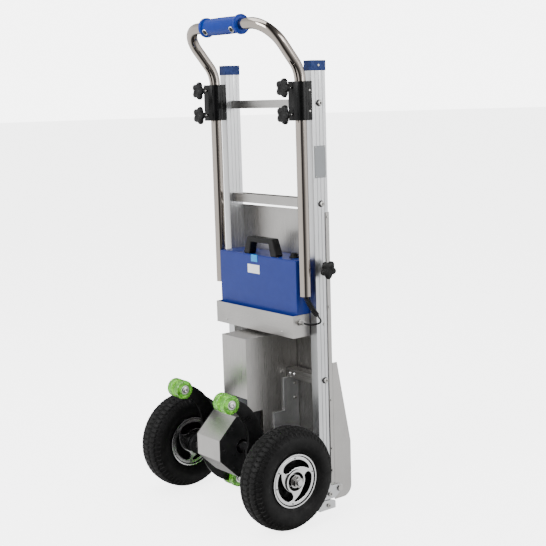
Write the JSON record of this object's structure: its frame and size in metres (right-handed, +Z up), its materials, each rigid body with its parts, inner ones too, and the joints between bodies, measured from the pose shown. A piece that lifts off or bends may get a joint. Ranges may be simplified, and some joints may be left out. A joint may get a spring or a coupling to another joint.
{
  "type": "stair climbing trolley",
  "caption": "Upright powered hand trolley with a sliding loop handle, lift-out battery, folding toe plate and motor-driven arms with rollers that climb stairs.",
  "frame": {"origin": "middle of the footprint on the floor", "axes": "+Z up, +Y towards the load side, +X to the right seen from the handle side"},
  "size_m": [0.55, 0.375, 1.2584],
  "materials": {
    "rail_aluminium": "satin anodised, with grooves along the profile",
    "cap_blue": "fine textured",
    "brushed_stainless": "brushed, satin",
    "aluminium_plate": "milled, satin",
    "zinc_steel": "zinc plated",
    "bearing_steel": "ground",
    "tyre_rubber": "moulded rubber, dull",
    "rim_black": "semi-gloss powder coat",
    "case_grey": "satin paint",
    "control_black": "fine textured",
    "gland_nickel": "nickel plated",
    "cord_black": "smooth, slightly glossy",
    "battery_blue": "smooth satin shell",
    "trim_black": "fine textured",
    "knob_black": "moulded, slightly worn",
    "clamp_black": "smooth moulding",
    "polished_stainless": "polished, with fine scratches",
    "grip_blue": "moulded, satin",
    "button_black": "smooth",
    "case_black": "satin black",
    "arm_black": "satin black powder coat",
    "roller_green": "translucent elastomer"
  },
  "bodies": {
    "frame": {"rail_left": "rail_aluminium", "rail_right": "rail_aluminium", "rail_cap_left": "cap_blue", "rail_cap_right": "cap_blue", "top_crossbar": "brushed_stainless", "mid_crossbar": "brushed_stainless", "lower_crossbar": "brushed_stainless", "crossbar_bolts": "zinc_steel", "front_panel": "brushed_stainless", "axle_plate_left": "zinc_steel", "axle_plate_right": "zinc_steel", "stub_axle_left": "zinc_steel", "stub_axle_right": "zinc_steel", "axle_nuts": "zinc_steel", "wheel_bearings": "bearing_steel", "foot_left": "aluminium_plate", "foot_right": "aluminium_plate", "foot_bracket_left": "zinc_steel", "foot_bracket_right": "zinc_steel", "toe_hinge_pins": "zinc_steel", "battery_tray": "brushed_stainless", "control_unit": "control_black", "cord_gland": "gland_nickel", "control_cord_tail": "cord_black", "clamp_left": "clamp_black", "clamp_right": "clamp_black", "drive_housing": "brushed_stainless", "gear_case_cover": "brushed_stainless", "gear_case_plate_left": "case_black", "gear_case_plate_right": "case_black", "drive_mount_plates": "aluminium_plate", "drive_motor": "case_grey", "gearbox": "case_grey"},
    "handle": {"handle_tube": "polished_stainless", "handle_grip": "grip_blue", "control_cord_coil": "cord_black"},
    "up_button": {"up_button": "button_black"},
    "down_button": {"down_button": "button_black"},
    "left_wheel": {"tyre_left": "tyre_rubber", "rim_left": "rim_black"},
    "right_wheel": {"tyre_right": "tyre_rubber", "rim_right": "rim_black"},
    "crank": {"crank_shaft": "bearing_steel", "climb_arm_left": "arm_black", "climb_arm_right": "arm_black", "roller_bolts": "zinc_steel"},
    "pinion": {"drive_pinion": "bearing_steel"},
    "left_upper_roller": {"roller_left_upper": "roller_green"},
    "left_lower_roller": {"roller_left_lower": "roller_green"},
    "right_upper_roller": {"roller_right_upper": "roller_green"},
    "right_lower_roller": {"roller_right_lower": "roller_green"},
    "toe_plate": {"toe_plate": "brushed_stainless"},
    "battery": {"battery_case": "battery_blue", "battery_handle": "trim_black", "battery_socket": "trim_black"},
    "battery_knob": {"battery_knob": "knob_black"},
    "left_upper_knob": {"clamp_knob_left_upper": "knob_black"},
    "left_lower_knob": {"clamp_knob_left_lower": "knob_black"},
    "right_upper_knob": {"clamp_knob_right_upper": "knob_black"},
    "right_lower_knob": {"clamp_knob_right_lower": "knob_black"}
  },
  "joints": [
    {"name": "handle_slide", "type": "slide", "parent": "frame", "child": "handle", "axis": [0, 0, 1], "range_m": [0, 0.35], "deforming": ["control_cord_coil"]},
    {"name": "up_button_press", "type": "slide", "parent": "handle", "child": "up_button", "axis": [0, 0.8192, 0.5736], "range_m": [0, 0.002], "stiffness_N_per_m": 300, "springref_m": -0.001},
    {"name": "down_button_press", "type": "slide", "parent": "handle", "child": "down_button", "axis": [0, 0.8192, 0.5736], "range_m": [0, 0.002], "stiffness_N_per_m": 300, "springref_m": -0.001},
    {"name": "left_wheel_spin", "type": "hinge", "parent": "frame", "child": "left_wheel", "pos_m": [-0.221, -0.0575, 0.13], "axis": [1, 0, 0], "continuous": true},
    {"name": "right_wheel_spin", "type": "hinge", "parent": "frame", "child": "right_wheel", "pos_m": [0.221, -0.0575, 0.13], "axis": [1, 0, 0], "continuous": true},
    {"name": "crank_turn", "type": "hinge", "parent": "frame", "child": "crank", "pos_m": [0, -0.0645, 0.1735], "axis": [1, 0, 0], "continuous": true},
    {"name": "pinion_spin", "type": "hinge", "parent": "frame", "child": "pinion", "pos_m": [-0.012, -0.0165, 0.1735], "axis": [1, 0, 0], "continuous": true},
    {"name": "left_upper_roller_spin", "type": "hinge", "parent": "crank", "child": "left_upper_roller", "pos_m": [-0.1018, -0.14721, 0.3128], "axis": [1, 0, 0], "continuous": true},
    {"name": "left_lower_roller_spin", "type": "hinge", "parent": "crank", "child": "left_lower_roller", "pos_m": [-0.1018, 0.01821, 0.0342], "axis": [1, 0, 0], "continuous": true},
    {"name": "right_upper_roller_spin", "type": "hinge", "parent": "crank", "child": "right_upper_roller", "pos_m": [0.1018, -0.14721, 0.3128], "axis": [1, 0, 0], "continuous": true},
    {"name": "right_lower_roller_spin", "type": "hinge", "parent": "crank", "child": "right_lower_roller", "pos_m": [0.1018, 0.01821, 0.0342], "axis": [1, 0, 0], "continuous": true},
    {"name": "toe_plate_fold", "type": "hinge", "parent": "frame", "child": "toe_plate", "pos_m": [0, 0.1415, 0.048], "axis": [-1, 0, 0], "range_deg": [0, 90]},
    {"name": "battery_lift", "type": "slide", "parent": "frame", "child": "battery", "axis": [0, 0, 1], "range_m": [0, 0.075]},
    {"name": "battery_knob_turn", "type": "hinge", "parent": "frame", "child": "battery_knob", "pos_m": [0.21, 0.103, 0.63005], "axis": [1, 0, 0], "range_deg": [0, 720]},
    {"name": "left_upper_knob_turn", "type": "hinge", "parent": "frame", "child": "left_upper_knob", "pos_m": [-0.177, 0.0105, 1.078], "axis": [0, -1, 0], "range_deg": [0, 720]},
    {"name": "left_lower_knob_turn", "type": "hinge", "parent": "frame", "child": "left_lower_knob", "pos_m": [-0.177, 0.0105, 1.014], "axis": [0, -1, 0], "range_deg": [0, 720]},
    {"name": "right_upper_knob_turn", "type": "hinge", "parent": "frame", "child": "right_upper_knob", "pos_m": [0.177, 0.0105, 1.078], "axis": [0, -1, 0], "range_deg": [0, 720]},
    {"name": "right_lower_knob_turn", "type": "hinge", "parent": "frame", "child": "right_lower_knob", "pos_m": [0.177, 0.0105, 1.014], "axis": [0, -1, 0], "range_deg": [0, 720]}
  ],
  "couplings": [
    {"joint": "pinion_spin", "follows": "crank_turn", "ratio": -2.3333}
  ]
}
